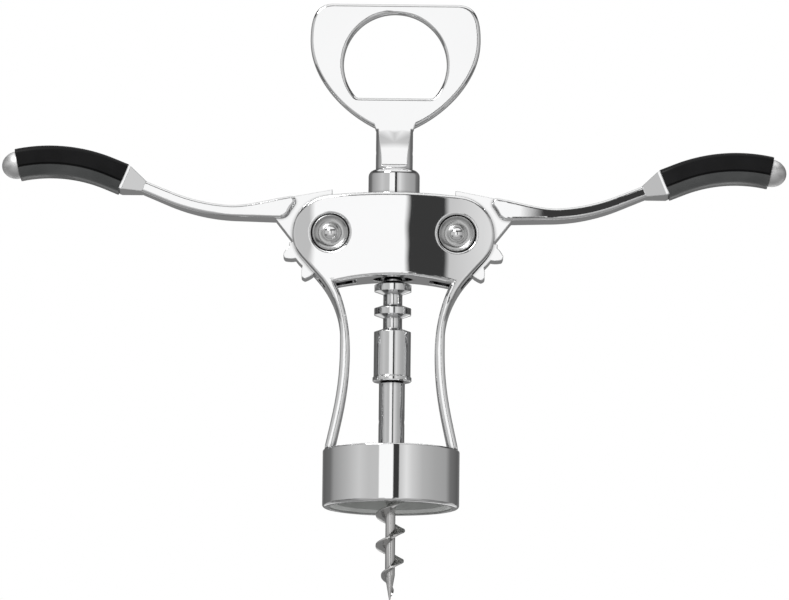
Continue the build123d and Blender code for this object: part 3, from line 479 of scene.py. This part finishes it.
# ------------------------------------------------------------------------------------ mesh tools
def finished_piece(
    name: str, mesh: bmesh.types.BMesh, material: bpy.types.Material, sharp: float
) -> bpy.types.Object:
    """Turns a bmesh into a smooth-shaded object at the origin.

    Args:
        name: The piece's name.
        mesh: Its shape, in the frame's axes.
        material: Its finish.
        sharp: The angle between faces, in degrees, above which an edge stays sharp.

    Returns:
        The object.
    """
    bmesh.ops.recalc_face_normals(mesh, faces=mesh.faces)
    data = bpy.data.meshes.new(name)
    mesh.to_mesh(data)
    mesh.free()
    data.polygons.foreach_set("use_smooth", [True] * len(data.polygons))
    data.set_sharp_from_angle(angle=math.radians(sharp))
    data.materials.append(material)
    piece = bpy.data.objects.new(name, data)
    bpy.context.scene.collection.objects.link(piece)
    return piece


def dress(node: str, material: bpy.types.Material) -> None:
    """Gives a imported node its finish.

    Args:
        node: The node's name.
        material: The finish.
    """
    for place in frame["nodes"][node].material_slots:
        place.material = material
    log.info("dressed %s in %s", node, material.name)


def joint_place(name: str) -> Vector:
    """The place of a hinge's pivot.

    Args:
        name: The joint's name.

    Returns:
        The pivot, in metres.
    """
    joint = next(joint for joint in frame["joints"] if joint["name"] == name)
    return Vector(joint["pos_m"])


# ------------------------------------------------------------------------------------ sub-assemblies
@dataclass
class Casting:
    """The frame with its bell, bush, liner and pivots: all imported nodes, only dressed here."""

    cast: bpy.types.Material
    chrome: bpy.types.Material
    cap: bpy.types.Material
    liner: bpy.types.Material

    def build(self) -> None:
        """Dresses the nodes."""
        dress("frame", self.cast)
        dress("spindle_bush", self.chrome)
        dress("bell_liner", self.liner)
        for side in Side:
            dress(f"pivot_pin_{side.word}", self.chrome)
            for face in ("front", "back"):
                dress(f"pivot_cap_{face}_{side.word}", self.cap)


@dataclass
class Lever:
    """One lever: its packed arm and end cap, and a grip moulded over its tang.

    The grip's centre line is a straight stretch that a bend carries over its highest point.
    """

    side: Side
    chrome: bpy.types.Material
    satin: bpy.types.Material
    black: bpy.types.Material
    # the lower bevel's finish, with painted reflected light
    underside: bpy.types.Material
    high_out: float = 84.13 * MM  # highest point of the centre line, out and up from the pivot
    high_up: float = 21.65 * MM
    bend: float = 46.5 * MM
    slope: float = 22.0  # of the straight stretch, degrees
    end_angle: float = 12.6  # past the highest point
    height: float = 8.9 * MM
    half_depth: float = 7.0 * MM
    crown: float = 1.7 * MM  # rounding of the upper edges
    crown_sink: float = 0.35 * MM  # how far the top falls from its middle to that rounding
    crease_up: float = 3.0 * MM  # height of the crease above the bottom
    crease_depth: float = 0.35 * MM
    bevel_in: float = 2.9 * MM  # how far the lower bevel runs in
    end_round: float = 0.55 * MM
    brow_out: float = 0.35  # where the top starts to fall, as a share of the half depth
    brow_fall: float = 0.12  # how far it has fallen there, as a share of the sink
    crease_lip: float = 0.35  # how far the crease's lower lip stays in, as a share of its depth
    knee_in: float = 0.45  # bulge of the lower bevel, as shares of its run and of the half height
    knee_down: float = 0.78
    bend_steps: int = 40
    crown_steps: int = 6
    end_steps: int = 3
    sharp_angle: float = 32.0

    def build(self) -> None:
        """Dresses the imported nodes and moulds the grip."""
        word = self.side.word
        dress(f"lever_{word}", self.chrome)
        dress(f"end_cap_{word}", self.satin)
        piece = self.moulded_grip()
        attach(piece, f"lever_{word}")
        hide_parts(f"grip_{word}")
        log.info("moulded %s", piece.name)

    def section(self) -> list[tuple[float, float]]:
        """The grip's outline across its centre line.

        Returns:
            (depth, rise) points, once round.
        """
        top = self.height / 2
        side = self.half_depth
        crease = self.crease_up - top
        out = side - self.crown
        up = top - self.crown_sink - self.crown
        half = [(0.0, top), (side * self.brow_out, top - self.crown_sink * self.brow_fall)]
        for step in range(self.crown_steps + 1):
            turn = math.pi / 2 * (1 - step / self.crown_steps)
            half.append((out + self.crown * math.cos(turn), up + self.crown * math.sin(turn)))
        half.append((side, crease + self.crease_depth))
        half.append((side - self.crease_depth, crease))
        half.append((side - self.crease_depth * self.crease_lip, crease - self.crease_depth))
        half.append((side - self.bevel_in * self.knee_in, -top * self.knee_down))
        half.append((side - self.bevel_in, -top))
        mirrored = [(-depth, rise) for depth, rise in reversed(half) if depth > 0]
        return half + mirrored

    def moulded_grip(self) -> bpy.types.Object:
        """Sweeps the section along the centre line and rounds both ends.

        Returns:
            The grip.
        """
        pivot = joint_place(f"lever_{self.side.word}_pivot")
        sign = self.side.value
        center = Vector((pivot.x + sign * self.high_out, 0, pivot.z + self.high_up - self.bend))
        end = Matrix.Rotation(math.radians(sign * self.end_angle), 3, "Y")
        mesh = bmesh.new()
        outline = [Vector((0, depth, self.bend + rise)) for depth, rise in self.section()]
        ring = [mesh.verts.new(center + end @ point) for point in outline]
        edges = [mesh.edges.new((a, b)) for a, b in zip(ring, ring[1:] + ring[:1])]
        far_cap = mesh.faces.new(ring)
        swept = bmesh.ops.spin(
            mesh,
            geom=ring + edges,
            cent=center,
            axis=(0, 1, 0),
            dvec=(0, 0, 0),
            angle=math.radians(-sign * (self.end_angle + self.slope)),
            steps=self.bend_steps,
            use_merge=False,
            use_duplicate=False,
        )
        last = [item for item in swept["geom_last"] if isinstance(item, bmesh.types.BMEdge)]
        pulled = bmesh.ops.extrude_edge_only(mesh, edges=last)
        moved = [item for item in pulled["geom"] if isinstance(item, bmesh.types.BMVert)]
        near_edges = [item for item in pulled["geom"] if isinstance(item, bmesh.types.BMEdge)]
        slope = math.radians(self.slope)
        along = Vector((-sign * math.cos(slope), 0, -math.sin(slope)))
        bmesh.ops.translate(mesh, verts=moved, vec=along * self.straight(center, sign))
        filled = bmesh.ops.contextual_create(mesh, geom=[edge for edge in near_edges if edge.is_boundary])
        rims = list(far_cap.edges) + [edge for face in filled["faces"] for edge in face.edges]
        bmesh.ops.bevel(
            mesh,
            geom=rims,
            offset=self.end_round,
            affect="EDGES",
            segments=self.end_steps,
            profile=0.5,
            material=-1,
            offset_type="OFFSET",
            clamp_overlap=True,
        )
        bmesh.ops.recalc_face_normals(mesh, faces=mesh.faces)
        # Faces below the crease take the second finish: painted light reflected from below, on the same
        # black plastic.
        for face in mesh.faces:
            away = face.calc_center_median() - center
            rise = math.hypot(away.x, away.z) - self.bend
            face.material_index = int(rise < self.crease_up - self.height / 2 - self.crease_depth)
        piece = finished_piece(f"moulded_grip_{self.side.word}", mesh, self.black, self.sharp_angle)
        piece.data.materials.append(self.underside)
        return piece

    def straight(self, center: Vector, sign: int) -> float:
        """Length of the straight stretch from the bend to the ferrule.

        Args:
            center: Centre of the bend.
            sign: The side's sign.

        Returns:
            The length, in metres.
        """
        low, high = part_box(f"grip_{self.side.word}")
        inner = low.x if sign > 0 else high.x
        slope = math.radians(self.slope)
        top = self.bend + self.height / 2
        bend_end = center.x - sign * top * math.sin(slope)
        return (bend_end - inner) * sign / math.cos(slope)


@dataclass
class Spindle:
    """The rack sleeve, the worm with its collar, their pins, and the handle on top."""

    chrome: bpy.types.Material
    turned: bpy.types.Material
    steel: bpy.types.Material

    def build(self) -> None:
        """Dresses the nodes."""
        dress("rack_sleeve", self.turned)
        dress("worm_collar", self.turned)
        dress("opener_handle", self.chrome)
        for node in ("worm", "worm_collar_pin", "handle_pin"):
            dress(node, self.steel)


# ------------------------------------------------------------------------------------ studio
@dataclass
class Studio:
    """A pale floor, bands of light and shade all round, one soft lamp, and the camera."""

    floor_height: float = -0.42
    floor_radius: float = 5.0
    floor_tone: Rgb = (0.8, 0.8, 0.8)
    floor_roughness: float = 0.8
    floor_corners: int = 96
    floor_sharp: float = 30.0
    camera_distance: float = 2.6
    camera_elevation: float = -8.0
    camera_roll: float = 0.62
    near_clip: float = 0.01
    view_width: float = 0.2367
    view_rise: float = 0.0006  # how far above the middle of the model the view is centred
    view_right: float = 0.0005  # and how far to its right
    lamp_place: tuple[float, float, float] = (-0.55, -0.75, 0.95)
    lamp_size: float = 0.5
    lamp_power: float = 7.0
    top_light: float = 1.0  # straight above
    shade: float = 0.07  # in the dark ring below it
    ground_front: float = 0.4
    ground_back: float = 0.25
    ring_foot: tuple[float, float] = (0.42, 0.5)  # upward part of the direction where each zone fades in
    ring_head: tuple[float, float] = (0.68, 0.78)
    low_head: tuple[float, float] = (-0.185, -0.205)
    ground_head: tuple[float, float] = (-0.5, -0.62)
    ground_turn: tuple[float, float] = (-0.1, 0.1)  # backward part where the ground changes
    low_rounds: float = 2.0  # how many times the low bands go round
    bands: tuple[tuple[float, float], ...] = field(
        default=(
            (-180, 0.22), (-166, 0.2), (-152, 0.12), (-124, 0.17), (-112, 0.34), (-80, 0.5), (-55, 0.66),
            (-38, 0.58), (-21, 0.58), (-20, 1.1), (2.9, 1.1), (3.4, 0.045), (13.0, 0.045), (13.5, 0.62),
            (26, 0.85), (36, 0.68), (55, 0.5), (80, 0.42), (106, 0.38), (119, 0.18), (150, 0.11), (166, 0.2),
            (180, 0.22),
        )
    )

    def build(self) -> None:
        """Sets up the whole studio."""
        self.surroundings()
        self.floor()
        self.lamp()
        self.camera()
        bpy.context.scene.view_settings.view_transform = "Standard"

    def surroundings(self) -> None:
        """Bands all round, a dark ring and a light overhead, finer bands low down, and a ground."""
        world = bpy.data.worlds.new("studio")
        world.use_nodes = True
        bpy.context.scene.world = world
        sheet = Sheet(world.node_tree)
        direction = sheet.wire("ShaderNodeTexCoord", "Generated")
        parts = sheet.add("ShaderNodeSeparateXYZ", None, {0: direction})
        x, y, z = (Wire(sheet, output) for output in parts.outputs)
        turn = x.turn_from(y * -1.0) / (2 * math.pi) + 0.5
        stops = tuple(((angle + 180) / 360, grey) for angle, grey in self.bands)
        bands = sheet.wire("ShaderNodeValToRGB", 0, {"stops": stops}, {0: turn})
        low_turn = (turn * self.low_rounds + 0.5).fraction()
        low_bands = sheet.wire("ShaderNodeValToRGB", 0, {"stops": stops}, {0: low_turn})
        front_to_back = y.between(*self.ground_turn)
        ground = sheet.tint(front_to_back, (self.ground_front,) * 3, (self.ground_back,) * 3)
        overhead = sheet.tint(z.between(*self.ring_head), (self.shade,) * 3, (self.top_light,) * 3)
        above = sheet.tint(z.between(*self.ring_foot), bands, overhead)
        below = sheet.tint(z.between(*self.ground_head), low_bands, ground)
        all_round = sheet.tint(z.between(*self.low_head), above, below)
        path = sheet.add("ShaderNodeLightPath")
        seen = Wire(sheet, path.outputs["Is Camera Ray"]) + Wire(sheet, path.outputs["Is Diffuse Ray"])
        shown = sheet.tint(seen, all_round, (1.0, 1.0, 1.0))
        light = sheet.wire("ShaderNodeBackground", 0, None, {"Color": shown, "Strength": 1.0})
        sheet.add("ShaderNodeOutputWorld", None, {"Surface": light})

    def floor(self) -> None:
        """A wide round pale floor, well below the tool."""
        mesh = bmesh.new()
        bmesh.ops.create_circle(mesh, cap_ends=True, radius=self.floor_radius, segments=self.floor_corners)
        bmesh.ops.translate(mesh, verts=mesh.verts, vec=(0, 0, self.floor_height))
        material, sheet = new_sheet("pale_floor")
        surface(sheet, {"Base Color": (*self.floor_tone, 1.0), "Roughness": self.floor_roughness})
        floor = finished_piece("floor", mesh, material, self.floor_sharp)
        floor.visible_glossy = False
        floor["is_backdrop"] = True

    def lamp(self) -> None:
        """One soft square lamp, high on the left."""
        light = bpy.data.lights.new("soft_lamp", "AREA")
        light.size = self.lamp_size
        light.energy = self.lamp_power
        lamp = bpy.data.objects.new("soft_lamp", light)
        place = Vector(self.lamp_place)
        aim = self.middle() - place
        lamp.matrix_world = Matrix.Translation(place) @ aim.to_track_quat("-Z", "Y").to_matrix().to_4x4()
        bpy.context.scene.collection.objects.link(lamp)

    @staticmethod
    def middle() -> Vector:
        """The middle of the model's box."""
        low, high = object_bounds()
        return (Vector(low) + Vector(high)) / 2

    def camera(self) -> None:
        """A long lens, a little below the tool, looking up at its middle."""
        data = bpy.data.cameras.new("camera")
        data.lens = data.sensor_width * self.camera_distance / self.view_width
        data.clip_start = self.near_clip
        camera = bpy.data.objects.new("camera", data)
        rise = math.radians(self.camera_elevation)
        aim = self.middle() + Vector((self.view_right, 0, self.view_rise))
        place = aim + self.camera_distance * Vector((0, -math.cos(rise), math.sin(rise)))
        look = (aim - place).to_track_quat("-Z", "Y").to_matrix().to_4x4()
        roll = Matrix.Rotation(math.radians(self.camera_roll), 4, "Z")
        camera.matrix_world = Matrix.Translation(place) @ look @ roll
        bpy.context.scene.collection.objects.link(camera)
        bpy.context.scene.camera = camera


def main() -> None:
    """Builds the studio and the pieces in order."""
    logging.basicConfig(level=logging.INFO, format="%(message)s")
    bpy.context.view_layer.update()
    Studio().build()
    chrome = CHROME.build()
    turned = TURNED_CHROME.build()
    steel = WORM_STEEL.build()
    Casting(CAST_CHROME.build(), chrome, PRESSED_CAP.build(), GREY_LINER.build()).build()
    Spindle(chrome, turned, steel).build()
    satin = SATIN_CHROME.build()
    black = BLACK_GRIP.build()
    underside = GRIP_UNDERSIDE_PAINTED_LIGHT.build()
    for side in Side:
        Lever(side, chrome, satin, black, underside).build()


if __name__ == "__main__":
    main()
